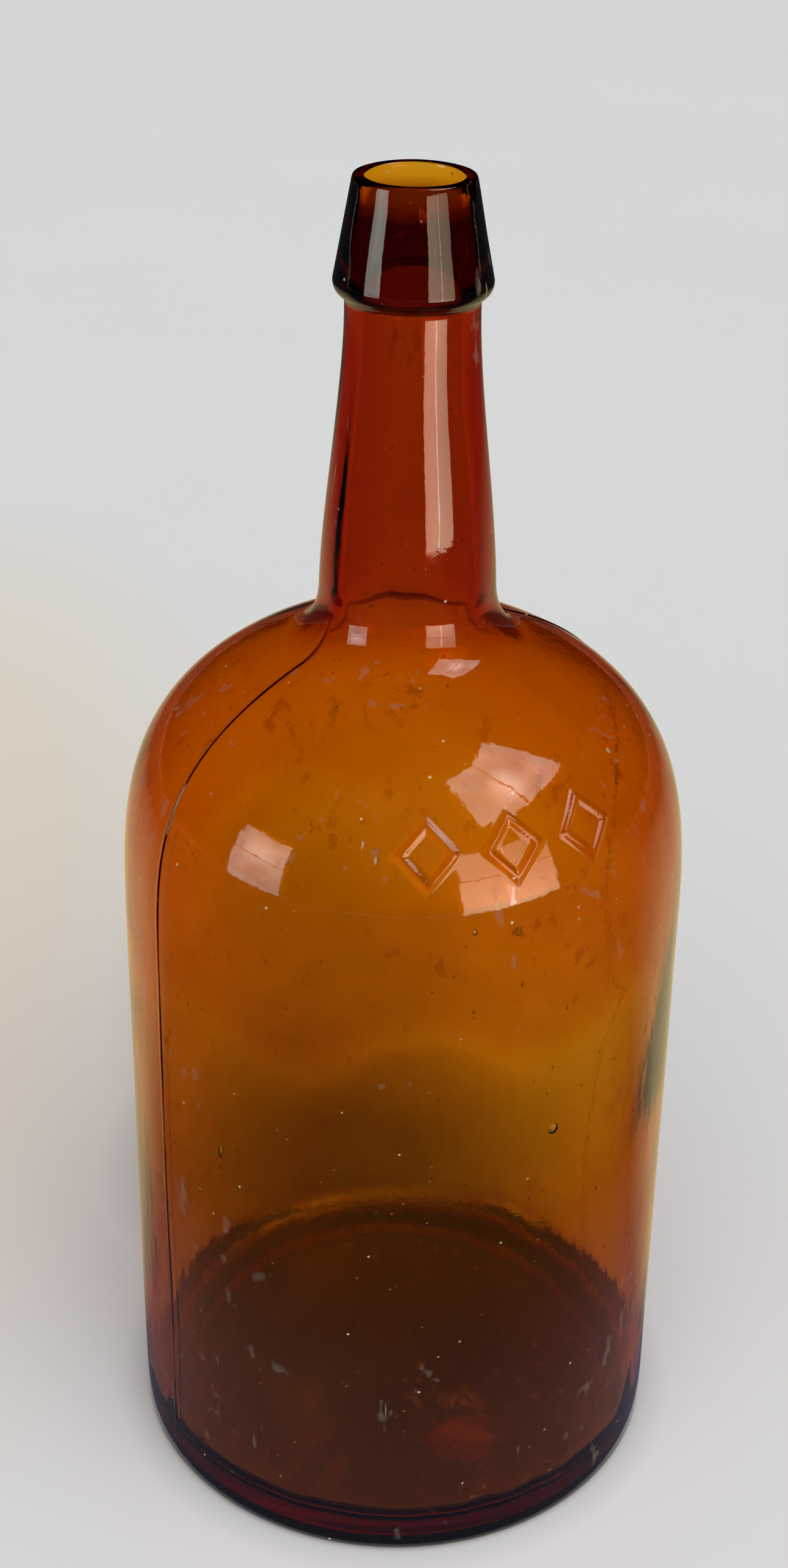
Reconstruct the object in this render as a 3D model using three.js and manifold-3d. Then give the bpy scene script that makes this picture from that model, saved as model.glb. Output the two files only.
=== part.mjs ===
// Amber glass gallon bottle, blown in a two-part mould, with an applied tapered collar.
//
// Units are millimetres and +Z is up. The origin is the centre of the base, on the surface
// that the bottle stands on, and the front of the bottle, with its raised marks, faces -Y.
import * as THREE from 'three';
import { mergeVertices } from 'three/addons/utils/BufferGeometryUtils.js';
import Module from 'manifold-3d';

const wasm = await Module();
wasm.setup();

// Driving dimensions of the bottle.
const BODY_RADIUS = 76.2;
const HEIGHT = 371;
const WALL = 2.4;
const SEGMENTS = 48;

// Base: a flat resting ring round a shallow push-up.
const REST_OUTER = 72.8;
const REST_INNER = 64;
const PUSH_UP = 8;
const BASE_THICKNESS = 6;
const HEEL_RADIUS = BODY_RADIUS - REST_OUTER;

// Shoulder and neck.
const WALL_TOP = 170.5;
const SHOULDER_END_RADIUS = 32.7;
const SHOULDER_END_HEIGHT = 250.7;
const NECK_START = 266;
const NECK_ROOT_RADIUS = 22.9;
const NECK_TOP_RADIUS = 16.75;
const NECK_ROOT_WALL = 5;
const BORE_RADIUS = 12.05;
const BORE_BOTTOM = 340;

// Collar: a cone round the end of the neck, widest just above its lower edge.
const COLLAR_BOTTOM = 342;
const COLLAR_MAX_RADIUS = 19.65;
const COLLAR_MAX_HEIGHT = 346;
const COLLAR_TOP_RADIUS = 15.1;
const RIM_OUTER = 14.3;
const RIM_INNER = 12.7;
const RIM_ROUND = 1.1;
const NECK_END = 365.9;
const NECK_END_RADIUS = 13.9;
const NECK_END_ROUND = 1.2;
const COLLAR_GAP = 0.3;

// Raised work: two mould seams and a row of lozenges on the front of the shoulder.
const RELIEF = 0.9;
const RELIEF_ROOT = 2;
const SEAM_WIDTH = 1.4;
const SEAM_TOP_WIDTH = 1;
const SEAM_TOP = 262;
const SEAM_AZIMUTH = -56.5;
const MARK_COUNT = 3;
const MARK_FIRST_AZIMUTH = 5;
const MARK_SPACING = 18.4;
const MARK_HEIGHT = 223.5;
const MARK_REACH = 60;
const MARK_HALF_WIDTH = 6.8;
const MARK_HALF_TALL = 7.6;
const MARK_STROKE = 2.3;
const MARK_RISE = 29;
const MARK_DEPTH = 12;

// Samples along each stretch of an outline.
const HEEL_STEPS = 3;
const CURVE_STEPS = 4;
const SHOULDER_STEPS = 9;

// One face of the glass from the top of the wall, over the shoulder and up the neck. It lies
// outside the bottle's own outer face by `wall` on the body, by `root` where the neck starts
// and by `tip` at the height `top`.
function addSkin(path, wall, root, tip, top) {
  const radius = BODY_RADIUS + wall;
  path.bezierCurveTo(
    radius, WALL_TOP + 37,
    radius - 0.9, SHOULDER_END_HEIGHT - 18 + wall,
    SHOULDER_END_RADIUS + 0.4 * wall, SHOULDER_END_HEIGHT + 0.9 * wall,
  );
  path.bezierCurveTo(
    SHOULDER_END_RADIUS - 5.1 + 0.4 * wall, SHOULDER_END_HEIGHT + 2.1 + 0.9 * wall,
    NECK_ROOT_RADIUS + 0.4 + root, NECK_START - 8.5,
    NECK_ROOT_RADIUS + root, NECK_START,
  );
  path.bezierCurveTo(
    NECK_ROOT_RADIUS - 0.8 + root, NECK_START + 25,
    NECK_TOP_RADIUS - 0.5 + tip, NECK_START + 54,
    NECK_TOP_RADIUS + tip, top,
  );
}

// Samples a path of lines and curves: one point at each end of a line, `steps` per curve.
function samplePath(path) {
  const points = [path.curves[0].getPoint(0)];
  for (const curve of path.curves) {
    let steps = CURVE_STEPS;
    if (curve.isLineCurve) steps = 1;
    if (curve.isEllipseCurve) steps = HEEL_STEPS;
    if (curve.v0 && curve.v0.y === WALL_TOP) steps = SHOULDER_STEPS;
    for (let step = 1; step <= steps; step += 1) points.push(curve.getPoint(step / steps));
  }
  return points;
}

// Turns an outline of (radius, height) points round the Z axis.
function revolve(points) {
  const geometry = new THREE.LatheGeometry(points, SEGMENTS);
  geometry.rotateX(Math.PI / 2);
  return geometry;
}

// A three.js geometry as a manifold solid, for joining and cutting.
function toSolid(geometry) {
  const bare = geometry.clone();
  bare.deleteAttribute('normal');
  bare.deleteAttribute('uv');
  const merged = mergeVertices(bare, 1e-4);
  const index = merged.index.array;
  const triangles = [];
  for (let i = 0; i < index.length; i += 3) {
    const [a, b, c] = index.slice(i, i + 3);
    if (a !== b && b !== c && c !== a) triangles.push(a, b, c);
  }
  return new wasm.Manifold(new wasm.Mesh({
    numProp: 3,
    vertProperties: new Float32Array(merged.attributes.position.array),
    triVerts: new Uint32Array(triangles),
  }));
}

// A manifold solid as a three.js geometry.
function toGeometry(solid) {
  const mesh = solid.getMesh();
  const geometry = new THREE.BufferGeometry();
  geometry.setAttribute('position', new THREE.BufferAttribute(mesh.vertProperties, 3));
  geometry.setIndex(new THREE.BufferAttribute(mesh.triVerts, 1));
  geometry.computeVertexNormals();
  return geometry;
}

// The end of the neck, which the collar laps over.
function addNeckEnd(path) {
  path.lineTo(NECK_END_RADIUS, NECK_END - NECK_END_ROUND);
  path.quadraticCurveTo(NECK_END_RADIUS, NECK_END, NECK_END_RADIUS - NECK_END_ROUND, NECK_END);
}

// The whole bottle without its hollow.
function outerOutline() {
  const path = new THREE.Path();
  path.moveTo(0, PUSH_UP);
  path.bezierCurveTo(REST_INNER * 0.5, PUSH_UP, REST_INNER * 0.85, PUSH_UP * 0.6, REST_INNER, 0);
  path.lineTo(REST_OUTER, 0);
  path.absarc(REST_OUTER, HEEL_RADIUS, HEEL_RADIUS, -Math.PI / 2, 0, false);
  path.lineTo(BODY_RADIUS, WALL_TOP);
  addSkin(path, 0, 0, 0, COLLAR_BOTTOM);
  addNeckEnd(path);
  path.lineTo(0, NECK_END);
  return samplePath(path);
}

// The hollow: the body of the bottle, the neck and the bore, past the end of the neck.
function cavityOutline() {
  const inside = BODY_RADIUS - WALL;
  const floor = PUSH_UP + BASE_THICKNESS;
  const corner = floor - HEEL_RADIUS * 2;
  const path = new THREE.Path();
  path.moveTo(0, floor);
  path.bezierCurveTo(REST_INNER * 0.5, floor, REST_INNER * 0.8, corner + 1, REST_INNER, corner);
  path.bezierCurveTo(inside - 4, corner, inside, corner + 4, inside, corner + 10);
  path.lineTo(inside, WALL_TOP);
  addSkin(path, -WALL, -NECK_ROOT_WALL, BORE_RADIUS - NECK_TOP_RADIUS, BORE_BOTTOM);
  path.lineTo(BORE_RADIUS, HEIGHT);
  path.lineTo(0, HEIGHT);
  return samplePath(path);
}

// The face of the glass from the heel to the collar, moved outwards by `offset`.
function outsideFace(offset) {
  const path = new THREE.Path();
  path.moveTo(BODY_RADIUS + offset, HEEL_RADIUS);
  path.lineTo(BODY_RADIUS + offset, WALL_TOP);
  addSkin(path, offset, offset, offset, COLLAR_BOTTOM);
  return samplePath(path);
}

// The space that raised work may fill: the outside of the glass, grown by the relief.
function reliefLimit() {
  const floorCentre = new THREE.Vector2(0, HEEL_RADIUS);
  const topCentre = new THREE.Vector2(0, COLLAR_BOTTOM);
  return toSolid(revolve([floorCentre, ...outsideFace(RELIEF), topCentre]));
}

// One mould seam: a thin slab that follows the glass from the heel to the root of the neck and
// gets thinner on the way up.
function seamSlab(azimuth) {
  const outside = outsideFace(RELIEF).filter((point) => point.y < SEAM_TOP);
  const inside = outsideFace(-RELIEF_ROOT).filter((point) => point.y < SEAM_TOP);
  const outline = new THREE.Shape([...outside, ...inside.reverse()]);
  const slab = new THREE.ExtrudeGeometry(outline, { depth: SEAM_WIDTH, bevelEnabled: false });
  slab.translate(0, 0, -SEAM_WIDTH / 2);
  slab.rotateX(Math.PI / 2);
  const points = slab.getAttribute('position');
  const thinning = (1 - SEAM_TOP_WIDTH / SEAM_WIDTH) / SEAM_TOP;
  for (let i = 0; i < points.count; i += 1) {
    points.setY(i, points.getY(i) * (1 - thinning * points.getZ(i)));
  }
  slab.rotateZ(THREE.MathUtils.degToRad(azimuth - 90));
  return toSolid(slab);
}

// One lozenge outline, standing on the shoulder at an azimuth from the front of the bottle.
function lozengeMark(azimuth) {
  const outline = new THREE.Shape([
    new THREE.Vector2(0, -MARK_HALF_TALL),
    new THREE.Vector2(MARK_HALF_WIDTH, 0),
    new THREE.Vector2(0, MARK_HALF_TALL),
    new THREE.Vector2(-MARK_HALF_WIDTH, 0),
  ]);
  const sideLength = Math.hypot(MARK_HALF_WIDTH, MARK_HALF_TALL);
  const centreToSide = MARK_HALF_WIDTH * MARK_HALF_TALL / sideLength;
  const holeScale = 1 - MARK_STROKE / centreToSide;
  const hole = outline.getPoints().map((point) => point.multiplyScalar(holeScale));
  outline.holes.push(new THREE.Path(hole.reverse()));
  const mark = new THREE.ExtrudeGeometry(outline, { depth: MARK_DEPTH, bevelEnabled: false });
  mark.rotateX(THREE.MathUtils.degToRad(90 - MARK_RISE));
  mark.translate(0, -MARK_REACH, MARK_HEIGHT);
  mark.rotateZ(THREE.MathUtils.degToRad(azimuth));
  return toSolid(mark);
}

// The seams and the marks, all raised by the same height from the glass.
function raisedWork() {
  let work = seamSlab(SEAM_AZIMUTH).add(seamSlab(SEAM_AZIMUTH + 180));
  for (let i = 0; i < MARK_COUNT; i += 1) {
    work = work.add(lozengeMark(MARK_FIRST_AZIMUTH + i * MARK_SPACING));
  }
  return work.intersect(reliefLimit());
}

// Base, wall, shoulder and neck in one skin of glass, open at the top of the neck.
function blownBody() {
  const outside = toSolid(revolve(outerOutline()));
  const cavity = toSolid(revolve(cavityOutline()));
  return toGeometry(outside.add(raisedWork()).subtract(cavity));
}

// The tapered lip, which laps over the end of the neck and forms the rim.
function appliedCollar() {
  const neckSide = NECK_TOP_RADIUS + COLLAR_GAP;
  const path = new THREE.Path();
  path.moveTo(neckSide, COLLAR_BOTTOM);
  path.bezierCurveTo(
    COLLAR_MAX_RADIUS - 0.9, COLLAR_BOTTOM + 0.6,
    COLLAR_MAX_RADIUS + 0.1, COLLAR_MAX_HEIGHT - 1.8,
    COLLAR_MAX_RADIUS, COLLAR_MAX_HEIGHT,
  );
  path.lineTo(COLLAR_TOP_RADIUS, HEIGHT - RIM_ROUND);
  path.quadraticCurveTo(COLLAR_TOP_RADIUS - 0.2, HEIGHT, RIM_OUTER, HEIGHT);
  path.lineTo(RIM_INNER, HEIGHT);
  path.quadraticCurveTo(BORE_RADIUS, HEIGHT, BORE_RADIUS, HEIGHT - RIM_ROUND);
  path.lineTo(BORE_RADIUS, NECK_END + COLLAR_GAP);
  path.lineTo(NECK_END_RADIUS + COLLAR_GAP - NECK_END_ROUND, NECK_END + COLLAR_GAP);
  path.quadraticCurveTo(
    NECK_END_RADIUS + COLLAR_GAP, NECK_END + COLLAR_GAP,
    NECK_END_RADIUS + COLLAR_GAP, NECK_END - NECK_END_ROUND,
  );
  path.closePath();
  return revolve(samplePath(path));
}

// Clear amber glass: the thick collar lets so little light through that it looks darker.
const bodyGlass = new THREE.MeshStandardMaterial({
  color: 0xa85a0c,
  roughness: 0.05,
  metalness: 0,
});
const collarGlass = new THREE.MeshStandardMaterial({
  color: 0x4a1408,
  roughness: 0.05,
  metalness: 0,
});

function namedMesh(name, geometry, material) {
  const mesh = new THREE.Mesh(geometry, material);
  mesh.name = name;
  return mesh;
}

const bottle = new THREE.Group();
bottle.add(namedMesh('blown_body', blownBody(), bodyGlass));
bottle.add(namedMesh('applied_collar', appliedCollar(), collarGlass));

export default bottle;
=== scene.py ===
"""An old amber glass gallon bottle: the finished look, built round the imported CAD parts.

The scene is in metres in the frame of the CAD model: +Z up, -Y to the front. Outlines and
relief are worked out in millimetres, from radius and height, and scaled when the mesh is made.
An azimuth is in degrees, from the front (-Y) towards +X.
"""

import math

import bpy
import numpy as np
from mathutils import Matrix, Vector


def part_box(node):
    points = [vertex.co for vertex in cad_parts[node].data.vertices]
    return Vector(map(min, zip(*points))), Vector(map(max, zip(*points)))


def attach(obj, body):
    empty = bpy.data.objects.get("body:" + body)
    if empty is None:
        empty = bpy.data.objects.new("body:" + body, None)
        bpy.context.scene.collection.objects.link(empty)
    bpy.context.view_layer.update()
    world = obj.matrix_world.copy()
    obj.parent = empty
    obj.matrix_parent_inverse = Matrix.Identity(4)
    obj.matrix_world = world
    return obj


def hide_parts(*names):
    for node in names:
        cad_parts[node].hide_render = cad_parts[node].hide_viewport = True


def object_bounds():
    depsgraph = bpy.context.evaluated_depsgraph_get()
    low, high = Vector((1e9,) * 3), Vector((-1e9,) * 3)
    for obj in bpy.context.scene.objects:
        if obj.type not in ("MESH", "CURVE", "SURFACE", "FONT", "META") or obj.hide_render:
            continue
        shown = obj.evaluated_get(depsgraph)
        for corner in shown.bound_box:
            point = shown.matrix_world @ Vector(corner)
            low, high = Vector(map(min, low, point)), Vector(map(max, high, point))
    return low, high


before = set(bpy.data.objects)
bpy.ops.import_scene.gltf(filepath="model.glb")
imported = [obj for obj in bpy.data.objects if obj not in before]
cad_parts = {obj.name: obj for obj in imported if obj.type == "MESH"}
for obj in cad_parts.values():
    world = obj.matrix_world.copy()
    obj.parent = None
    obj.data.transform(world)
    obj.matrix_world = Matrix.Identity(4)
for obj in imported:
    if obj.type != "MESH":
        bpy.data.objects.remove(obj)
cad_low, cad_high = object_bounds()

MM = 0.001

# sizes that the frame gives, in millimetres
BODY_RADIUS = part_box("blown_body")[1].x / MM
COLLAR_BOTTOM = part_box("applied_collar")[0].z / MM
COLLAR_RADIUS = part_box("applied_collar")[1].x / MM
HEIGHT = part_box("applied_collar")[1].z / MM

# the glass body, as in the CAD model
WALL = 2.4
REST_OUTER = 72.8
REST_INNER = 64
PUSH_UP = 8
BASE_THICKNESS = 6
WALL_TOP = 170.5
SHOULDER_PULL_HEIGHT = WALL_TOP + 37
SHOULDER_END = (32.7, 250.7)
NECK_START = 266
NECK_ROOT_RADIUS = 22.9
NECK_TOP_RADIUS = 16.75
NECK_ROOT_WALL = 5
BORE_RADIUS = 12.05
BORE_BOTTOM = 340

# the hollow, where it isn't at the wall's distance from the outside
HOLLOW_HEEL_TOP = 17.2
HOLLOW_HEEL_LOW = 7.2
HOLLOW_SHOULDER_END = (31.42, 247.7)

# the applied collar
COLLAR_WIDEST = COLLAR_BOTTOM + 4
COLLAR_TOP_RADIUS = 15.1
RIM_OUTER = 14.3
RIM_INNER = 12.7
RIM_ROUND = 1.1

# mould seams: low ridges that sway by up to SEAM_SWAY degrees; SEAM_ON_WALL is the share of
# their height that they have on the wall
SEAM_AZIMUTHS = (-56.5, 123.5)
SEAM_WIDTH = 1.5
SEAM_HEIGHT = 0.26
SEAM_ON_WALL = 0.5
SEAM_BOTTOM = 6
SEAM_TOP = 262
SEAM_SWAY = 0.25

# raised lozenges in a row on the shoulder
MARK_AZIMUTHS = (5, 23.4, 41.8)
MARK_HEIGHT = 223.5
MARK_HALF_WIDTH = 6.8
MARK_HALF_TALL = 7.6
MARK_STROKE = 2.3
MARK_RELIEF = 0.75

# a chip on the collar's rim
CHIP_AZIMUTH = 62
CHIP_HEIGHT = 369.6
CHIP_RADIUS = 1.9
CHIP_DEPTH = 0.7

# heights of the unevenness of both faces, in millimetres
RIPPLE_HEIGHT = 0.18
WHITTLE_HEIGHT = 0.07
UNEVEN_HEIGHT = 0.35
INNER_RIPPLE_HEIGHT = 0.12
HEEL_RIPPLE_HEIGHT = 0.8
NECK_STREAK_HEIGHT = 0.5
COLLAR_RIPPLE_HEIGHT = 0.12

# thin glass: a spot in the base, as x and y, and the right side, as azimuth and height
THIN_SPOT = (22, -31)
THIN_SPOT_RADIUS = 9
THIN_SPOT_RAGGEDNESS = 0.8
THIN_SPOT_EDGE = 3
THIN_SPOT_DEPTH = 3
THIN_SIDE = (42, 150)
THIN_SIDE_REACH = (45, 50)
THIN_SIDE_DEPTH = 0.8

# thicker glass over the shoulder, above a wandering line
THICK_ABOVE = 166
THICK_BELOW = 232
THICK_LINE_SWAY = 16
THICK_BY = 0.5

# bubbles in the glass; a large one is azimuth, height, half width and half length
SEED_COUNT = 150
SEED_LOWEST = 12
SEED_LEAST_RADIUS = 20
LARGE_SEEDS = (
    (32, 141, 1.5, 1.7),
    (-38, 128, 0.6, 1.9),
    (14, 205, 0.7, 0.8),
    (150, 120, 1.1, 1.5),
)
LARGE_SEED_DEPTH = 0.65
LARGE_SEED_HALF_THICKNESS = 0.28

# degrees between columns of the mesh, and how far the finer ones reach beside a seam or mark
SEAM_STEP = 0.17
SEAM_MARGIN = 1.5
MARK_STEP = 0.37
MARK_MARGIN = 8
PLAIN_STEP = 2.0
THINNED_STEP = 1.9
LEAST_STEP = 0.05
LOOK_AHEAD = 0.5

rng = np.random.default_rng(11)


# ---------------------------------------------------------------- outlines and surfaces


def curve(step, *controls):
    """Points about step apart on a straight line or a Bezier curve with these control points."""
    controls = np.array(controls, float)
    degree = len(controls) - 1
    reach = np.linalg.norm(np.diff(controls, axis=0), axis=1).sum()
    t = np.linspace(0, 1, max(2, round(reach / step) + 1))[:, None]
    return sum(
        math.comb(degree, k) * t**k * (1 - t) ** (degree - k) * controls[k]
        for k in range(degree + 1)
    )


def join(*stretches):
    """One outline from stretches that each start where the one before ends."""
    return np.vstack([stretches[0]] + [s[1:] for s in stretches[1:]])


def body_outline():
    """The outside of the body, from the middle of the base to where the collar starts."""
    heel = BODY_RADIUS - REST_OUTER
    pull = 0.55 * heel
    return join(
        curve(
            3,
            (0, PUSH_UP),
            (0.5 * REST_INNER, PUSH_UP),
            (0.85 * REST_INNER, 0.6 * PUSH_UP),
            (REST_INNER, 0),
        ),
        curve(2.2, (REST_INNER, 0), (REST_OUTER, 0)),
        curve(
            0.7,
            (REST_OUTER, 0),
            (REST_OUTER + pull, 0),
            (BODY_RADIUS, heel - pull),
            (BODY_RADIUS, heel),
        ),
        curve(4, (BODY_RADIUS, heel), (BODY_RADIUS, WALL_TOP)),
        curve(
            1.1,
            (BODY_RADIUS, WALL_TOP),
            (BODY_RADIUS, SHOULDER_PULL_HEIGHT),
            (75.3, 232.7),
            SHOULDER_END,
        ),
        curve(1.1, SHOULDER_END, (27.6, 252.8), (23.3, 257.5), (NECK_ROOT_RADIUS, NECK_START)),
        curve(
            2,
            (NECK_ROOT_RADIUS, NECK_START),
            (22.1, NECK_START + 25),
            (16.25, NECK_START + 54),
            (NECK_TOP_RADIUS, COLLAR_BOTTOM),
        ),
    )


def collar_outline():
    """The collar, which is one with the neck: its lower edge, its slope, the rim and the lip."""
    rim_start = HEIGHT - RIM_ROUND
    return join(
        curve(
            0.5,
            (NECK_TOP_RADIUS, COLLAR_BOTTOM),
            (NECK_TOP_RADIUS + 2, COLLAR_BOTTOM + 0.3),
            (COLLAR_RADIUS + 0.1, COLLAR_BOTTOM + 2.2),
            (COLLAR_RADIUS, COLLAR_WIDEST),
        ),
        curve(0.8, (COLLAR_RADIUS, COLLAR_WIDEST), (COLLAR_TOP_RADIUS, rim_start)),
        curve(
            0.25,
            (COLLAR_TOP_RADIUS, rim_start),
            (COLLAR_TOP_RADIUS - 0.2, HEIGHT),
            (RIM_OUTER, HEIGHT),
        ),
        curve(0.5, (RIM_OUTER, HEIGHT), (RIM_INNER, HEIGHT)),
        curve(0.25, (RIM_INNER, HEIGHT), (BORE_RADIUS, HEIGHT), (BORE_RADIUS, rim_start)),
    )


def hollow_outline():
    """The inside, from the top of the bore down to the middle of the base."""
    radius = BODY_RADIUS - WALL
    root = NECK_ROOT_RADIUS - NECK_ROOT_WALL
    floor_height = PUSH_UP + BASE_THICKNESS
    return join(
        curve(3, (BORE_RADIUS, HEIGHT - RIM_ROUND), (BORE_RADIUS, BORE_BOTTOM)),
        curve(
            3,
            (BORE_RADIUS, BORE_BOTTOM),
            (BORE_RADIUS - 0.5, NECK_START + 54),
            (root - 0.8, NECK_START + 25),
            (root, NECK_START),
        ),
        curve(2, (root, NECK_START), (root - 0.9, 257.5), (25.2, 249.5), HOLLOW_SHOULDER_END),
        curve(
            2.5,
            HOLLOW_SHOULDER_END,
            (72.6, 230.4),
            (radius, SHOULDER_PULL_HEIGHT),
            (radius, WALL_TOP),
        ),
        curve(5, (radius, WALL_TOP), (radius, HOLLOW_HEEL_TOP)),
        curve(
            1.5,
            (radius, HOLLOW_HEEL_TOP),
            (radius, HOLLOW_HEEL_LOW + 4),
            (69, HOLLOW_HEEL_LOW),
            (REST_INNER, HOLLOW_HEEL_LOW),
        ),
        curve(
            3,
            (REST_INNER, HOLLOW_HEEL_LOW),
            (0.8 * REST_INNER, HOLLOW_HEEL_LOW + 1),
            (0.5 * REST_INNER, floor_height),
            (0, floor_height),
        ),
    )


def along(outline):
    """How far each point of an outline is from its start."""
    return np.r_[0, np.cumsum(np.linalg.norm(np.diff(outline, axis=0), axis=1))]


def outward(outline):
    """The unit normal at each point of an outline, to the right of its direction."""
    run = np.gradient(outline, axis=0)
    normal = np.c_[run[:, 1], -run[:, 0]]
    return normal / np.linalg.norm(normal, axis=1)[:, None]


def rings_of(outline, azimuths, height):
    """The rows of points of a surface of revolution, moved along its normal by height."""
    normal = outward(outline)
    on_axis = outline[:, 0] < 1e-6
    normal[on_axis] = (0, 0)
    lift = height(azimuths[None, :], outline[:, 1:2], outline[:, 0:1])
    r = outline[:, 0:1] + lift * normal[:, 0:1]
    z = outline[:, 1:2] + lift * normal[:, 1:2]
    angle = np.radians(azimuths)[None, :]
    return np.stack([r * np.sin(angle), -r * np.cos(angle), z + 0 * angle], axis=2)


# ---------------------------------------------------------------- relief


def waves(count, most_turns, length):
    """A smooth uneven field between -1 and 1: a sum of count cosines.

    Each goes up to most_turns times round the bottle and repeats every 0.8 to 3 lengths up it.
    """
    turns = rng.integers(1, most_turns + 1, count)
    pitch = 2 * math.pi / (length * rng.uniform(0.8, 3, count)) * rng.choice([-1, 1], count)
    phase = rng.uniform(0, 2 * math.pi, count)
    share = rng.uniform(0.5, 1, count)
    share /= share.sum()

    def field(azimuth, z):
        angle = np.radians(azimuth)
        return sum(
            share[k] * np.cos(turns[k] * angle + pitch[k] * z + phase[k]) for k in range(count)
        )

    return field


ripple = waves(9, 5, 60)
whittle = waves(14, 16, 90)
uneven = waves(9, 4, 70)
inner_ripple = waves(14, 9, 45)
heel_ripple = waves(16, 34, 22)
thick_line = waves(6, 7, 60)
neck_streaks = waves(10, 13, 260)
seam_sway = waves(3, 1, 60)


def smooth(x):
    """0 below 0, 1 above 1 and an even ease between."""
    x = np.clip(x, 0, 1)
    return x * x * (3 - 2 * x)


def rise(x, start, width):
    """0 up to start, and 1 from a width above it."""
    return smooth((x - start) / width)


def fall(x, end, width):
    """1 until a width below end, and 0 from end."""
    return smooth((end - x) / width)


def apart(azimuth, other):
    """The signed difference of two azimuths, -180 to 180."""
    return (azimuth - other + 180) % 360 - 180


def seam_relief(azimuth, z, r):
    """The two mould seams, which end above the heel and below the neck."""
    height = 0
    for seam in SEAM_AZIMUTHS:
        offset = apart(azimuth, seam) + SEAM_SWAY * seam_sway(0 * azimuth + seam, z)
        across = np.abs(np.radians(offset)) * r / (SEAM_WIDTH / 2)
        height = height + SEAM_HEIGHT * smooth(1.25 - across)
    ends = rise(z, SEAM_BOTTOM, 8) * fall(z, SEAM_TOP, 10)
    strength = SEAM_ON_WALL + (1 - SEAM_ON_WALL) * rise(z, WALL_TOP, 30)
    return height * ends * strength


def mark_relief(azimuth, climb, r):
    """Raised lozenge outlines; climb is the way up the shoulder from their middle."""
    height = 0
    scale = MARK_HALF_WIDTH * MARK_HALF_TALL / math.hypot(MARK_HALF_WIDTH, MARK_HALF_TALL)
    for mark in MARK_AZIMUTHS:
        across = np.abs(np.radians(apart(azimuth, mark))) * r / MARK_HALF_WIDTH
        up = np.abs(climb) / MARK_HALF_TALL
        edge = np.abs(across + up - 1) * scale / (MARK_STROKE / 2)
        height = height + MARK_RELIEF * smooth(1.2 - edge)
    return height


def outside_height(azimuth, z, r):
    """How far the outside of the body stands off its plain outline."""
    free = rise(z, 2, 12) * fall(z, COLLAR_BOTTOM, 25) * rise(r, 0, 20)
    return free * (RIPPLE_HEIGHT * ripple(azimuth, z) + WHITTLE_HEIGHT * whittle(azimuth, z))


def thin_spot(azimuth, z, r):
    """1 in the thin spot of the base, which has a ragged edge, and 0 round it."""
    angle = np.radians(azimuth)
    distance = np.hypot(r * np.sin(angle) - THIN_SPOT[0], -r * np.cos(angle) - THIN_SPOT[1])
    ragged = 1 + THIN_SPOT_RAGGEDNESS * heel_ripple(2 * azimuth, z + r)
    edge = THIN_SPOT_RADIUS * ragged
    in_base = z < 20
    return fall(distance, edge, THIN_SPOT_EDGE) * in_base


def thin_side(azimuth, z, r):
    """1 in the middle of the right side, easing to 0 round it."""
    across = apart(azimuth, THIN_SIDE[0]) / THIN_SIDE_REACH[0]
    up = (z - THIN_SIDE[1]) / THIN_SIDE_REACH[1]
    on_wall = r > 60
    return smooth(1 - np.hypot(across, up)) * on_wall


def inside_height(azimuth, z, r):
    """How far the inside stands off its plain outline, into the hollow."""
    lift = UNEVEN_HEIGHT * uneven(azimuth, z) + INNER_RIPPLE_HEIGHT * inner_ripple(azimuth, z)
    heel = fall(z, 34, 14) * rise(r, 40, 15)
    lift = lift + HEEL_RIPPLE_HEIGHT * heel * heel_ripple(azimuth, z)
    lift = lift - THIN_SIDE_DEPTH * thin_side(azimuth, z, r)
    thick_start = THICK_ABOVE + THICK_LINE_SWAY * thick_line(azimuth, 0 * z)
    lift = lift + THICK_BY * rise(z, thick_start, 9) * fall(z, THICK_BELOW, 30)
    free = fall(z, BORE_BOTTOM, 60) * rise(r, 0, 20)
    on_neck = rise(z, NECK_START - 10, 14) * fall(z, BORE_BOTTOM - 4, 14)
    streaks = NECK_STREAK_HEIGHT * on_neck * neck_streaks(azimuth, z)
    return free * lift + streaks - THIN_SPOT_DEPTH * thin_spot(azimuth, z, r)


def collar_height(azimuth, z, r):
    """The tooled collar is a little uneven and has a small chip at its rim."""
    arc = np.radians(apart(azimuth, CHIP_AZIMUTH)) * r
    chipped = 1 - (arc**2 + (z - CHIP_HEIGHT) ** 2) / CHIP_RADIUS**2
    on_rim = r > RIM_INNER + 0.8
    outside_bore = r > BORE_RADIUS + 0.01
    free = rise(z, COLLAR_BOTTOM, 2) * outside_bore
    uneven_slope = free * COLLAR_RIPPLE_HEIGHT * ripple(azimuth, 3 * z)
    return uneven_slope - CHIP_DEPTH * smooth(1.5 * chipped) * on_rim


# ---------------------------------------------------------------- meshes


def columns(step_at):
    """Azimuths round the bottle, each as far from the last as step_at says for that one."""
    found = [-180.0]
    while found[-1] + step_at(found[-1]) < 180 - LEAST_STEP:
        found.append(found[-1] + step_at(found[-1]))
    return np.array(found)


def body_column_step(azimuth):
    """Finest at the seams, and finer at the lozenges than elsewhere."""
    if min(abs(apart(azimuth + LOOK_AHEAD, seam)) for seam in SEAM_AZIMUTHS) < SEAM_MARGIN:
        return SEAM_STEP
    if MARK_AZIMUTHS[0] - MARK_MARGIN < azimuth < MARK_AZIMUTHS[-1] + MARK_MARGIN:
        return MARK_STEP
    return PLAIN_STEP


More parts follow.
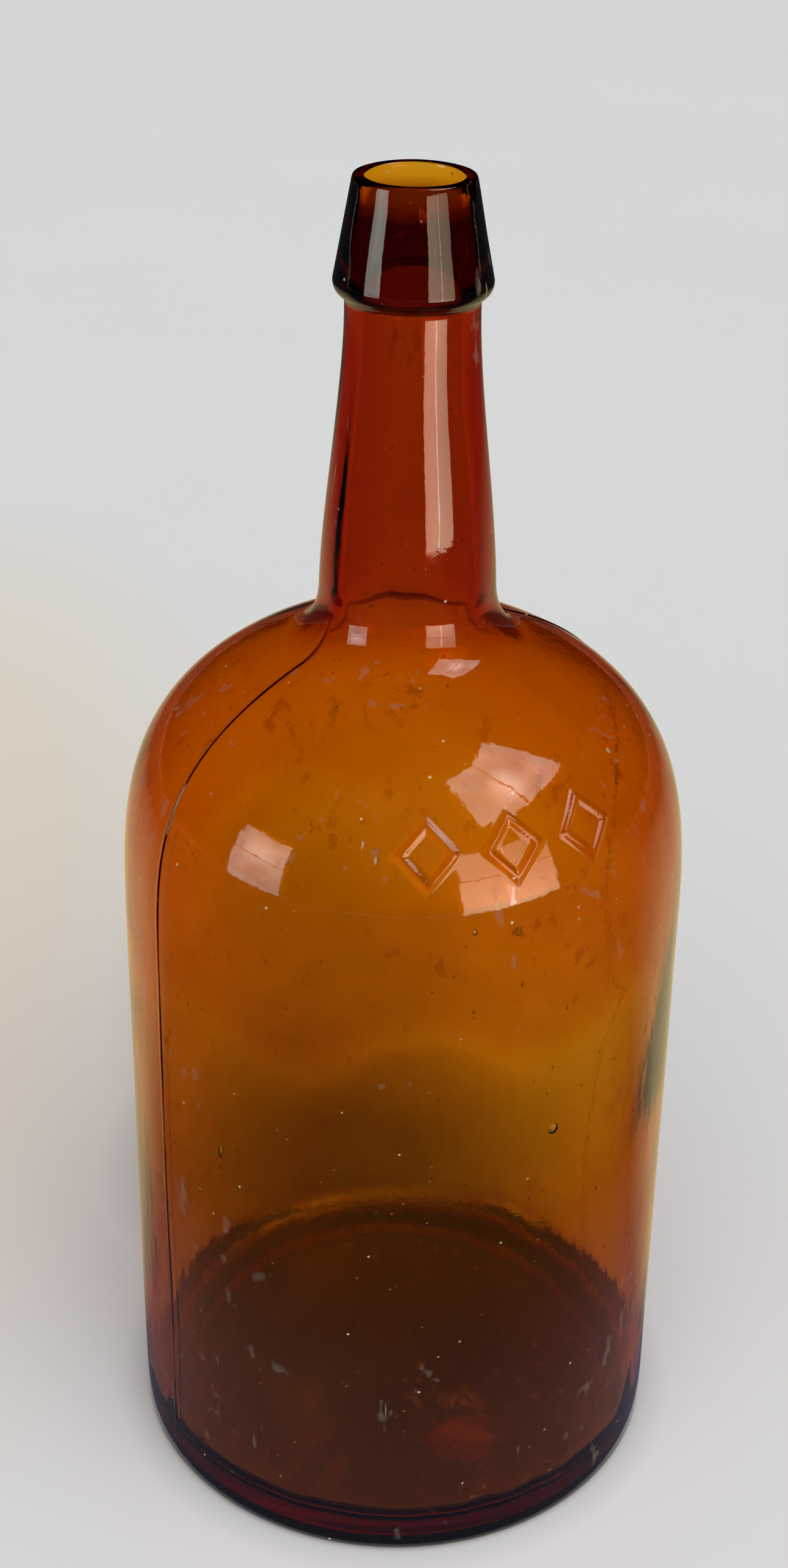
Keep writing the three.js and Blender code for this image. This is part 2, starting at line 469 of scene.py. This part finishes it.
def thinned(azimuths, step):
    """The numbers of the columns that are at least step degrees apart."""
    kept = [0]
    for k, azimuth in enumerate(azimuths):
        if azimuth - azimuths[kept[-1]] >= step and 180 - azimuth > step / 2:
            kept.append(k)
    return kept


class Shell:
    """Rows of points joined into one closed surface."""

    def __init__(self):
        self.points = []
        self.faces = []
        self.count = 0

    def add_row(self, row):
        """Adds points and returns their numbers."""
        self.points.append(row)
        self.count += len(row)
        return list(range(self.count - len(row), self.count))

    def join_rows(self, low, high, kept=None):
        """Faces between two rows. kept numbers the columns of low that high has, if fewer."""
        if len(low) == 1:
            for j in range(len(high)):
                self.faces.append([low[0], high[(j + 1) % len(high)], high[j]])
        elif len(high) == 1:
            for j in range(len(low)):
                self.faces.append([low[j], low[(j + 1) % len(low)], high[0]])
        elif kept is not None:
            turn = kept + [kept[0] + len(low)]
            for k in range(len(high)):
                edge = [low[j % len(low)] for j in range(turn[k], turn[k + 1] + 1)]
                self.faces.append(edge + [high[(k + 1) % len(high)], high[k]])
        else:
            for j in range(len(low)):
                n = (j + 1) % len(low)
                self.faces.append([low[j], low[n], high[n], high[j]])

    def add_surface(self, rows, below=None, kept=None):
        """Joins rows in turn, the first to the row of numbers below, and returns the last."""
        for k, row in enumerate(rows):
            numbers = self.add_row(row)
            if below is not None:
                self.join_rows(below, numbers, kept if k == 0 else None)
            below = numbers
        return below

    def add_bubble(self, middle, axes, around=12, rows=7):
        """A hollow in the glass: an ellipsoid whose faces look into it."""
        start = self.count
        turn = np.linspace(0, 2 * math.pi, around, endpoint=False)
        points = [middle + axes[2]]
        for k in range(1, rows):
            lat = math.pi * k / rows
            for a in turn:
                ring = axes[0] * math.cos(a) + axes[1] * math.sin(a)
                points.append(middle + ring * math.sin(lat) + axes[2] * math.cos(lat))
        points.append(middle - axes[2])
        self.add_row(np.array(points))
        for j in range(around):
            n = (j + 1) % around
            self.faces.append([start, start + 1 + n, start + 1 + j])
            for k in range(rows - 2):
                a = start + 1 + k * around
                b = a + around
                self.faces.append([a + j, a + n, b + n, b + j])
            last = start + 1 + (rows - 2) * around
            self.faces.append([last + j, last + n, start + len(points) - 1])

    def to_object(self, name, material):
        """The surface as a smooth object in metres."""
        mesh = bpy.data.meshes.new(name)
        points = np.vstack(self.points) * MM
        mesh.from_pydata(points.tolist(), [], self.faces)
        mesh.materials.append(material)
        mesh.polygons.foreach_set("use_smooth", [True] * len(self.faces))
        mesh.update()
        piece = bpy.data.objects.new(name, mesh)
        bpy.context.scene.collection.objects.link(piece)
        return piece


def make_bottle(glass):
    """Base, body, neck, collar and hollow: one closed skin of glass."""
    shell = Shell()
    azimuths = columns(body_column_step)
    outline = body_outline()
    climb = along(outline)
    on_side = outline[:, 1] > PUSH_UP
    mark_climb = np.interp(MARK_HEIGHT, outline[on_side, 1], climb[on_side])

    def height(azimuth, z, r):
        marks = mark_relief(azimuth, climb[:, None] - mark_climb, r)
        return outside_height(azimuth, z, r) + seam_relief(azimuth, z, r) + marks

    rows = list(rings_of(outline, azimuths, height))
    rows[0] = rows[0][:1]
    top = shell.add_surface(rows)
    kept = thinned(azimuths, THINNED_STEP)
    rows = list(rings_of(collar_outline(), azimuths[kept], collar_height))
    top = shell.add_surface(rows[1:], top, kept)
    rows = list(rings_of(hollow_outline(), azimuths[kept], inside_height))
    rows[-1] = rows[-1][:1]
    shell.add_surface(rows[1:], top)
    add_seeds(shell, outline)
    return shell.to_object("bottle", glass)


def add_seed(shell, side, at, azimuth, deep, size):
    """One bubble, at a way up the side and a depth in the glass; size is round, up and through."""
    reach = along(side)
    r, z = (np.interp(at, reach, side[:, i]) for i in (0, 1))
    ahead = np.array([np.interp(at + 1, reach, side[:, i]) for i in (0, 1)])
    slope = ahead - (r, z)
    slope = slope / max(np.linalg.norm(slope), 1e-9)
    angle = math.radians(azimuth)
    out = np.array([math.sin(angle), -math.cos(angle), 0])
    sideways = np.array([math.cos(angle), math.sin(angle), 0])
    up = out * slope[0] + np.array([0, 0, 1]) * slope[1]
    through = np.cross(sideways, up)
    middle = out * r + np.array([0, 0, z]) - through * deep
    shell.add_bubble(middle, (sideways * size[0], up * size[1], through * size[2]))


def add_seeds(shell, outline):
    """Small bubbles drawn out along the blown wall, between its two faces, and a few large ones."""
    side = outline[(outline[:, 1] > SEED_LOWEST) & (outline[:, 0] > SEED_LEAST_RADIUS)]
    for _ in range(SEED_COUNT):
        at = rng.uniform(0, along(side)[-1])
        azimuth = rng.uniform(-180, 180)
        width = rng.uniform(0.12, 0.32)
        length = width * rng.uniform(1, 3.2)
        deep = rng.uniform(0.6, 0.8)
        add_seed(shell, side, at, azimuth, deep, (width, length, width * 0.8))
    for azimuth, z, width, length in LARGE_SEEDS:
        at = np.interp(z, side[:, 1], along(side))
        size = (width, length, LARGE_SEED_HALF_THICKNESS)
        add_seed(shell, side, at, azimuth, LARGE_SEED_DEPTH, size)


# ---------------------------------------------------------------- shader helpers


def node(tree, kind, inputs=None, **settings):
    """A new shader node with its settings and inputs set; an input may be another's output."""
    made = tree.nodes.new(kind)
    for key, value in settings.items():
        setattr(made, key, value)
    for key, value in (inputs or {}).items():
        if isinstance(value, bpy.types.NodeSocket):
            tree.links.new(value, made.inputs[key])
        else:
            made.inputs[key].default_value = value
    return made


def new_material(name):
    """An empty material and its node tree."""
    material = bpy.data.materials.new(name)
    material.use_nodes = True
    material.node_tree.nodes.clear()
    return material, material.node_tree


def stretched(tree, scale):
    """Object coordinates scaled per axis; a small last value makes patterns run up the bottle."""
    where = node(tree, "ShaderNodeTexCoord").outputs["Object"]
    return node(tree, "ShaderNodeMapping", {"Vector": where, "Scale": scale}).outputs["Vector"]


def noise(tree, where, scale, detail=2, roughness=0.5):
    """Soft noise, mostly between 0.3 and 0.7, with about scale cycles a metre."""
    inputs = {"Vector": where, "Scale": scale, "Detail": detail, "Roughness": roughness}
    return node(tree, "ShaderNodeTexNoise", inputs).outputs["Fac"]


def remap(tree, value, low, high, to_low=0, to_high=1):
    """The range low to high turned into to_low to to_high, and flat outside it."""
    inputs = {"Value": value, 1: low, 2: high, 3: to_low, 4: to_high}
    return node(tree, "ShaderNodeMapRange", inputs).outputs["Result"]


def fade(tree, value, limits, to_low=0, to_high=1):
    """remap for a height or a radius, with its limits in millimetres."""
    return remap(tree, value, limits[0] * MM, limits[1] * MM, to_low, to_high)


def combine(tree, operation, first, *others):
    """The values joined by one arithmetic operation, such as MULTIPLY or MAXIMUM."""
    for other in others:
        first = node(tree, "ShaderNodeMath", {0: first, 1: other}, operation=operation).outputs[0]
    return first


def vector(tree, operation, *values, output="Vector"):
    """A vector operation, such as SUBTRACT; a LENGTH or a DOT_PRODUCT has the output Value."""
    inputs = dict(enumerate(values))
    return node(tree, "ShaderNodeVectorMath", inputs, operation=operation).outputs[output]


def mix(tree, factor, first, second):
    """A blend of two colours."""
    inputs = {0: factor, 6: first, 7: second}
    return node(tree, "ShaderNodeMix", inputs, data_type="RGBA").outputs[2]


def oval(tree, where, middle, size):
    """The distance from middle, counted in size along each axis."""
    offset = vector(tree, "SUBTRACT", where, middle)
    return vector(tree, "LENGTH", vector(tree, "DIVIDE", offset, size), output="Value")


# ---------------------------------------------------------------- glass

ABSORB_COLOUR = (0.959, 0.786, 0.04, 1)
ABSORB_DENSITY = 1400
GLASS_IOR = 1.51

# the surface: clear and dull film, dust, a deeper colour where the glass is thick, and painted
# shade on the heel and base
CLEAR_FILM = (0.99, 0.98, 0.96, 1)
DULL_FILM = (0.91, 0.87, 0.80, 1)
DUST_COLOUR = (0.62, 0.5, 0.3, 1)
DUST_TRANSMISSION = 0.25
NECK_TINT = (0.74, 0.63, 0.45, 1)
# the heel and base: partly a deeper colour for the thick glass, partly painted shade from the
# shadowed floor under the bottle
BASE_TINT_AND_SHADE = (0.42, 0.24, 0.3, 1)
COLLAR_LOW_TINT = (0.1, 0.045, 0.04, 1)
COLLAR_HIGH_TINT = (0.055, 0.02, 0.02, 1)

# roughness where the glass is clear and where it is worn
POLISHED = 0.012
DULLED = 0.07

# heights and radii between which the tints fade, in millimetres
HEEL_FADE = (3, 8)
HEEL_RAGGEDNESS = 3
BASE_FADE = (15, 18)
BASE_EDGE_FADE = (68, 71)
NECK_FADE = (NECK_START - 14, NECK_START + 4)
MOUTH_FADE = (HEIGHT - 9, HEIGHT - 4)
COLLAR_FADE = (COLLAR_BOTTOM, COLLAR_BOTTOM + 1)
COLLAR_SHADING = (COLLAR_BOTTOM, HEIGHT - 10)
RIM_FADE = (HEIGHT - 8, HEIGHT - 3.5)
LIP_FADE = (RIM_INNER + 0.7, RIM_OUTER)

# patterns on the surface, in cycles a metre
WAVE_SCALE = 90
PIT_SCALE = 900
WEAR_SCALE = 45
SPECK_SCALE = 190
DUSTY_SCALE = 70
WORN_SCALE = 26
SCRATCH_SCALE = 420
BLOT_SCALE = 210
RAGGED_SCALE = 70

# how much of the glass's clearness a scratch and a blot take away, as a share of dust's
SCRATCH_AMOUNT = 0.45
BLOT_AMOUNT = 0.16

# the bump: the share of pits beside waves, how strong it is and how high, in metres
PIT_SHARE = 0.08
BUMP_STRENGTH = 0.35
BUMP_DISTANCE = 0.0003

# a painted pool of light under the thin spot in the base, which the base's painted shade
# leaves out: the middle and half size of an oval in metres, and how far its edge is pushed about
RAGGED_REACH = (0.03, 0.03, 0)
PAINTED_LIGHT_SPOT = ((THIN_SPOT[0] * MM, THIN_SPOT[1] * MM, 0.007), (0.013, 0.012, 0.05))


def dust_and_scratches(tree, everywhere):
    """Where specks of dust, scratches and dull blots lie on the glass, from 0 to 1."""
    cells = node(tree, "ShaderNodeTexVoronoi", {"Vector": everywhere, "Scale": SPECK_SCALE})
    speck = remap(tree, cells.outputs["Distance"], 0.05, 0.09, 1, 0)
    dusty = remap(tree, noise(tree, everywhere, DUSTY_SCALE, 1), 0.56, 0.6)
    worn = remap(tree, noise(tree, everywhere, WORN_SCALE), 0.56, 0.62)
    long_streak = noise(tree, stretched(tree, (1, 1, 0.07)), SCRATCH_SCALE, 1)
    scratch = remap(tree, long_streak, 0.735, 0.76, 0, SCRATCH_AMOUNT)
    short_streak = noise(tree, stretched(tree, (1, 1, 0.6)), BLOT_SCALE)
    blot = remap(tree, short_streak, 0.63, 0.7, 0, BLOT_AMOUNT)
    return combine(
        tree,
        "MAXIMUM",
        combine(tree, "MULTIPLY", speck, dusty),
        combine(tree, "MULTIPLY", scratch, worn),
        combine(tree, "MULTIPLY", blot, worn),
    )


def waves_and_pits(tree, everywhere):
    """The normal of a surface with faint waves drawn up the bottle, and fine pits."""
    wavy = noise(tree, stretched(tree, (1, 1, 0.35)), WAVE_SCALE, 3)
    pits = noise(tree, everywhere, PIT_SCALE)
    inputs = {0: pits, 1: PIT_SHARE, 2: wavy}
    relief = node(tree, "ShaderNodeMath", inputs, operation="MULTIPLY_ADD").outputs[0]
    inputs = {"Height": relief, "Strength": BUMP_STRENGTH, "Distance": BUMP_DISTANCE}
    return node(tree, "ShaderNodeBump", inputs).outputs["Normal"]


def painted_light_distance(tree, where):
    """The distance from the middle of the painted light under the thin spot, counted in its size,
    with a ragged edge.
    """
    inputs = {"Vector": where, "Scale": RAGGED_SCALE, "Detail": 3}
    push = node(tree, "ShaderNodeTexNoise", inputs).outputs["Color"]
    either_way = vector(tree, "SUBTRACT", push, (0.5, 0.5, 0.5))
    return oval(tree, vector(tree, "MULTIPLY_ADD", either_way, RAGGED_REACH, where), *PAINTED_LIGHT_SPOT)


def thick_base_and_shade(tree, everywhere, height, reach, wear):
    """Where the heel and base get their tint, part thick glass and part painted shade: 1 at the
    heel, with a ragged upper edge, and in the base round its painted light spot.
    """
    push = remap(tree, wear, 0.3, 0.7, -HEEL_RAGGEDNESS * MM, HEEL_RAGGEDNESS * MM)
    heel = fade(tree, combine(tree, "ADD", height, push), HEEL_FADE, 1, 0)
    in_base = combine(
        tree,
        "MULTIPLY",
        fade(tree, height, BASE_FADE, 1, 0),
        fade(tree, reach, BASE_EDGE_FADE, 1, 0),
        remap(tree, painted_light_distance(tree, everywhere), 0.8, 1.1),
    )
    return combine(tree, "MAXIMUM", heel, in_base)


def glass_tint(tree, everywhere, wear):
    """The colour of the clean surface: a film on thin glass, deeper tints on thick glass, and
    painted shade on the heel and base.
    """
    height = node(tree, "ShaderNodeSeparateXYZ", {"Vector": everywhere}).outputs["Z"]
    reach = vector(tree, "LENGTH", stretched(tree, (1, 1, 0)), output="Value")
    film = mix(tree, remap(tree, wear, 0.35, 0.7), CLEAR_FILM, DULL_FILM)
    # painted shade over the thick heel and base
    body = mix(tree, thick_base_and_shade(tree, everywhere, height, reach, wear), film, BASE_TINT_AND_SHADE)
    neck = mix(tree, fade(tree, height, MOUTH_FADE), NECK_TINT, film)
    blown = mix(tree, fade(tree, height, NECK_FADE), body, neck)
    collar = mix(tree, fade(tree, height, COLLAR_SHADING), COLLAR_LOW_TINT, COLLAR_HIGH_TINT)
    on_collar = combine(
        tree,
        "MULTIPLY",
        fade(tree, height, COLLAR_FADE),
        fade(tree, height, RIM_FADE, 1, 0),
        fade(tree, reach, LIP_FADE),
    )
    return mix(tree, on_collar, blown, collar)


def amber_glass():
    """Old amber glass: colour by absorption, worn, dusty and faintly wavy at the surface."""
    material, tree = new_material("amber_glass")
    everywhere = stretched(tree, (1, 1, 1))
    wear = noise(tree, everywhere, WEAR_SCALE, 4, 0.6)
    dust = dust_and_scratches(tree, everywhere)
    clean = glass_tint(tree, everywhere, wear)
    body = node(
        tree,
        "ShaderNodeBsdfPrincipled",
        {
            "Base Color": mix(tree, remap(tree, dust, 0, 0.1), clean, DUST_COLOUR),
            "Roughness": remap(tree, wear, 0.45, 0.75, POLISHED, DULLED),
            "IOR": GLASS_IOR,
            "Transmission Weight": remap(tree, dust, 0, 1, 1, DUST_TRANSMISSION),
            "Normal": waves_and_pits(tree, everywhere),
        },
    )
    inputs = {"Color": ABSORB_COLOUR, "Density": ABSORB_DENSITY}
    inner = node(tree, "ShaderNodeVolumeAbsorption", inputs)
    outputs = {"Surface": body.outputs["BSDF"], "Volume": inner.outputs["Volume"]}
    node(tree, "ShaderNodeOutputMaterial", outputs)
    return material


# ---------------------------------------------------------------- floor materials

FLOOR_GREY = (0.79, 0.79, 0.795, 1)
FLOOR_WHITE = (0.81, 0.815, 0.82, 1)
# the colour of the amber light painted on the floor, as if cast through the bottle
AMBER_LIGHT = (0.82, 0.745, 0.65, 1)

# soft ovals painted on the floor, as middle and half size in metres: amber light cast through
# the bottle, and the bottle's shadows; the last number of a shade is how pale its middle stays,
# from 0 to 1
AMBER_LIGHT_OVAL = ((-0.24, 0.27, 0), (0.13, 0.33, 1))
SHADES = (
    ((-0.04, 0.25, 0), (0.06, 0.18, 1), 0.72),
    ((-0.015, 0.108, 0), (0.07, 0.07, 1), 0.4),
    ((0, 0, 0), (0.066, 0.066, 1), 0.1),
)

# the surround's painted reflections of the room, with the distances in metres over which its
# colours change
# a painted reflection of the dark room, paler where the lit floor near the bottle is reflected
REFLECTION_NEAR = (0.17, 0.165, 0.23, 1)
REFLECTION_FAR = (0.03, 0.03, 0.032, 1)
REFLECTION_CHANGE = (0.11, 0.2)
# a painted golden reflection behind the bottle
GOLDEN_BEHIND = (0.85, 0.68, 0.36, 1)
GOLDEN_CHANGE = (0.4, 1.2)


def pale_table():
    """A pale floor, with painted amber light to the left, painted shadows under and behind the
    bottle, and painted light under the base's thin spot.
    """
    material, tree = new_material("pale_table")
    where = stretched(tree, (1, 1, 1))
    pale = mix(tree, noise(tree, where, 3, 4), FLOOR_GREY, FLOOR_WHITE)
    # painted amber light, cast through the bottle onto the floor at its left
    painted_amber_light = remap(tree, oval(tree, where, *AMBER_LIGHT_OVAL), 0.7, 1.4, 1, 0)
    colour = mix(tree, painted_amber_light, pale, AMBER_LIGHT)
    # painted light under the base's thin spot, which the painted shadows don't cover
    painted_light_mask = remap(tree, painted_light_distance(tree, where), 0.8, 1.2, 1, 0)
    # painted shadows of the bottle: long behind to the left, deeper just behind, darkest under it
    for middle, size, paleness in SHADES:
        shade = remap(tree, oval(tree, where, middle, size), 0.35, 1.3, paleness, 1)
        inputs = {0: colour, "Scale": combine(tree, "MAXIMUM", shade, painted_light_mask)}
        colour = node(tree, "ShaderNodeVectorMath", inputs, operation="SCALE").outputs["Vector"]
    inputs = {"Base Color": colour, "Roughness": 0.8, "Specular IOR Level": 0.1}
    body = node(tree, "ShaderNodeBsdfPrincipled", inputs)
    node(tree, "ShaderNodeOutputMaterial", {"Surface": body.outputs["BSDF"]})
    return material


def painted_reflection():
    """Painted reflections: dark, a little paler close to the bottle, and golden behind it, out to
    about a metre.
    """
    material, tree = new_material("painted_reflection")
    flat = stretched(tree, (1, 1, 0))
    reach = vector(tree, "LENGTH", flat, output="Value")
    facing = vector(
        tree, "DOT_PRODUCT", vector(tree, "NORMALIZE", flat), (0, -1, 0), output="Value"
    )
    dark = mix(tree, remap(tree, reach, *REFLECTION_CHANGE), REFLECTION_NEAR, REFLECTION_FAR)
    behind = remap(tree, facing, -0.15, -0.5)
    close = remap(tree, reach, *GOLDEN_CHANGE, 1, 0)
    colour = mix(tree, combine(tree, "MULTIPLY", behind, close), dark, GOLDEN_BEHIND)
    body = node(tree, "ShaderNodeBsdfPrincipled", {"Base Color": colour, "Specular IOR Level": 0})
    node(tree, "ShaderNodeOutputMaterial", {"Surface": body.outputs["BSDF"]})
    return material


# ---------------------------------------------------------------- studio

# the floor and the ring that is reflected instead of it, in metres
FLOOR_RADIUS = 6
FLOOR_CORNERS = 96
SURROUND_INNER = 0.078
SURROUND_OUTER = 5.5
SURROUND_CORNERS = 72
SURROUND_GAP = 0.001

# the sky: where it is strongest, and the cosine from there at which it is weakest
KEY_AZIMUTH = 15
KEY_ELEVATION = 34
KEY_EDGE = -0.3
SKY_LOW = 0.2
SKY_HIGH = 2.95
SKY_POWER = 4

# how bright and how far off the windows are, and the share of a pane left free at its edges
WINDOW_STRENGTH = 3.6
WINDOW_DISTANCE = 2.2
NEAR_WINDOW = 0.44
NEAR_HEIGHTS = (0.19, 0.425)
PANE_MARGIN = 0.015

# each upright window: azimuths in degrees, heights and distance in metres, panes across and up
LEFT_WINDOW = ((-72, -47), (0.09, 1.13), WINDOW_DISTANCE, 1, 2)
RIGHT_WINDOW = ((21, 59), NEAR_HEIGHTS, NEAR_WINDOW, 2, 2)
RIGHT_POST = ((39.3, 40.7), NEAR_HEIGHTS, NEAR_WINDOW - 0.005, 1, 1)

# the upper windows, as directions from a point on the axis at this height
UPPER_AZIMUTHS = ((38, 68), (69, 99))
UPPER_ELEVATIONS = (41, 68)
UPPER_CENTRE_HEIGHT = 0.2

# the light of the windows; the brightest place is an azimuth and a height, or an elevation for
# the upper ones, and GLARE is how much brighter it is
LEFT_COLOUR = (0.95, 0.98, 0.88, 1)
RIGHT_COLOUR = (1, 0.76, 0.5, 1)
POST_COLOUR = (1, 0.85, 0.75, 1)
UPPER_COLOUR = (1, 0.97, 0.85, 1)
LEFT_BRIGHTEST = (-59, 0.75)
RIGHT_BRIGHTEST = (38, 0)
UPPER_BRIGHTEST = (69, 54)
GLARE_SIZE = (0.35, 0.35, 0.35)
GLARE = 2.6


def direction(azimuth, elevation):
    """The unit vector towards an azimuth and an elevation."""
    a = math.radians(azimuth)
    e = math.radians(elevation)
    return Vector((math.sin(a) * math.cos(e), -math.cos(a) * math.cos(e), math.sin(e)))


def upright(distance, azimuth, height):
    """The point at this distance from the axis of the bottle, azimuth and height."""
    return distance * direction(azimuth, 0) + Vector((0, 0, height))


def stage_mesh(name, points, faces, material):
    """A thing of the studio."""
    mesh = bpy.data.meshes.new(name)
    mesh.from_pydata([tuple(p) for p in points], [], faces)
    mesh.materials.append(material)
    made = bpy.data.objects.new(name, mesh)
    bpy.context.scene.collection.objects.link(made)
    return made


def seen_by(thing, camera=True, diffuse=True, glossy=True, transmission=True, shadow=True):
    """Which kinds of rays see a thing of the studio."""
    thing.visible_camera = camera
    thing.visible_diffuse = diffuse
    thing.visible_glossy = glossy
    thing.visible_transmission = transmission
    thing.visible_shadow = shadow


def floor():
    """The round floor that the bottle stands on."""
    turn = [2 * math.pi * k / FLOOR_CORNERS for k in range(FLOOR_CORNERS)]
    points = [(FLOOR_RADIUS * math.cos(a), FLOOR_RADIUS * math.sin(a), cad_low.z) for a in turn]
    return stage_mesh("floor", points, [tuple(range(FLOOR_CORNERS))], pale_table())


def surround():
    """A flat ring just above the floor, which only reflections see, for the room's dark side."""
    turn = np.linspace(-180, 180, SURROUND_CORNERS + 1)
    height = cad_low.z + SURROUND_GAP
    points = [upright(r, a, height) for r in (SURROUND_INNER, SURROUND_OUTER) for a in turn]
    n = len(turn)
    faces = [(j, j + 1, n + j + 1, n + j) for j in range(n - 1)]
    ring = stage_mesh("dark_surround", points, faces, painted_reflection())
    seen_by(ring, camera=False, diffuse=False, transmission=False, shadow=False)


def window_light(name, colour, strength, middle):
    """The light of a window, uneven as a bright street is and brightest round middle."""
    material, tree = new_material(name)
    where = stretched(tree, (1, 1, 1))
    cloud = remap(tree, noise(tree, where, 3), 0.35, 0.65, 0.7 * strength, 1.15 * strength)
    glare = remap(tree, oval(tree, where, middle, GLARE_SIZE), 0, 1, GLARE, 1)
    bright = combine(tree, "MULTIPLY", cloud, glare)
    shine = node(tree, "ShaderNodeEmission", {"Color": colour, "Strength": bright})
    node(tree, "ShaderNodeOutputMaterial", {"Surface": shine.outputs["Emission"]})
    return material


def shares(limits, k, count):
    """The two ends of part k of count equal parts of limits, less a margin at each end."""
    ends = (PANE_MARGIN, 1 - PANE_MARGIN)
    return [np.interp((k + end) / count, (0, 1), limits) for end in ends]


def panes(name, material, azimuths, heights, distance, across, up):
    """An upright window of flat panes with narrow gaps between them."""
    made = []
    for i in range(across):
        for j in range(up):
            turn = shares(azimuths, i, across)
            level = shares(heights, j, up)
            corners = [
                upright(distance, turn[a], level[b]) for a, b in ((0, 0), (1, 0), (1, 1), (0, 1))
            ]
            made.append(stage_mesh(f"{name}_{i}_{j}", corners, [(0, 1, 2, 3)], material))
    return made


def upper_windows():
    """Two flat sheets high on the right, which face a point in the bottle."""
    centre = Vector((0, 0, UPPER_CENTRE_HEIGHT))
    brightest = centre + WINDOW_DISTANCE * direction(*UPPER_BRIGHTEST)
    light = window_light("upper_light", UPPER_COLOUR, WINDOW_STRENGTH, brightest)
    made = []
    for i, azimuths in enumerate(UPPER_AZIMUTHS):
        corners = [
            centre + WINDOW_DISTANCE * direction(azimuths[a], UPPER_ELEVATIONS[b])
            for a, b in ((0, 0), (1, 0), (1, 1), (0, 1))
        ]
        made.append(stage_mesh(f"upper_window_{i}", corners, [(0, 1, 2, 3)], light))
    return made


def windows():
    """Soft lights where the windows are that the glass reflects; they light no surface."""
    left_middle = upright(WINDOW_DISTANCE, *LEFT_BRIGHTEST)
    left = window_light("left_light", LEFT_COLOUR, 0.95 * WINDOW_STRENGTH, left_middle)
    right_middle = upright(NEAR_WINDOW, *RIGHT_BRIGHTEST)
    right = window_light("right_light", RIGHT_COLOUR, WINDOW_STRENGTH, right_middle)
    post = window_light("post_light", POST_COLOUR, 2 * WINDOW_STRENGTH, right_middle)
    made = panes("left_window", left, *LEFT_WINDOW)
    made += panes("right_window", right, *RIGHT_WINDOW)
    made += panes("right_post", post, *RIGHT_POST)
    made += upper_windows()
    for pane in made:
        seen_by(pane, camera=False, diffuse=False, shadow=False)


def soft_sky():
    """A soft light from all round, strongest from the front and above, that isn't reflected."""
    world = bpy.data.worlds.new("soft_sky")
    bpy.context.scene.world = world
    world.use_nodes = True
    tree = world.node_tree
    tree.nodes.clear()
    where = node(tree, "ShaderNodeTexCoord").outputs["Generated"]
    key = direction(KEY_AZIMUTH, KEY_ELEVATION)
    facing = vector(tree, "DOT_PRODUCT", where, key, output="Value")
    lobe = combine(tree, "POWER", remap(tree, facing, KEY_EDGE, 1), SKY_POWER)
    strength = remap(tree, lobe, 0, 1, SKY_LOW, SKY_HIGH)
    back = node(tree, "ShaderNodeBackground", {"Color": (1, 1, 1, 1), "Strength": strength})
    node(tree, "ShaderNodeOutputWorld", {"Surface": back.outputs["Background"]})
    world.cycles_visibility.glossy = False


# the camera: place in metres, angles in degrees, lens and sensor in millimetres
CAMERA_AT = Vector((0, -0.54806, 0.50316))
CAMERA_DOWN = 28.396
CAMERA_TURN = -0.286
CAMERA_ROLL = 0.905
CAMERA_LENS = 52.92
SENSOR = 36


def camera():
    """A camera at the viewing angle of the photograph."""
    turn = math.radians(CAMERA_TURN)
    roll = math.radians(CAMERA_ROLL)
    ahead = -direction(-CAMERA_TURN, CAMERA_DOWN)
    right = Vector((math.cos(turn), -math.sin(turn), 0))
    up = right.cross(ahead)
    x = math.cos(roll) * right + math.sin(roll) * up
    y = math.cos(roll) * up - math.sin(roll) * right
    data = bpy.data.cameras.new("camera")
    data.lens = CAMERA_LENS
    data.sensor_width = SENSOR
    data.clip_end = 50
    made = bpy.data.objects.new("camera", data)
    made.matrix_world = Matrix.Translation(CAMERA_AT) @ Matrix((x, y, -ahead)).transposed().to_4x4()
    bpy.context.scene.collection.objects.link(made)
    bpy.context.scene.camera = made


def light_paths():
    """Room for the many passes through glass, and plain colours."""
    scene = bpy.context.scene
    scene.cycles.max_bounces = 32
    scene.cycles.transmission_bounces = 28
    scene.cycles.transparent_max_bounces = 32
    scene.cycles.sample_clamp_indirect = 3
    scene.view_settings.view_transform = "Standard"


# ---------------------------------------------------------------- the bottle in the studio

bottle = make_bottle(amber_glass())
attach(bottle, "root")
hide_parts("blown_body", "applied_collar")

floor()
surround()
windows()
soft_sky()
camera()
light_paths()
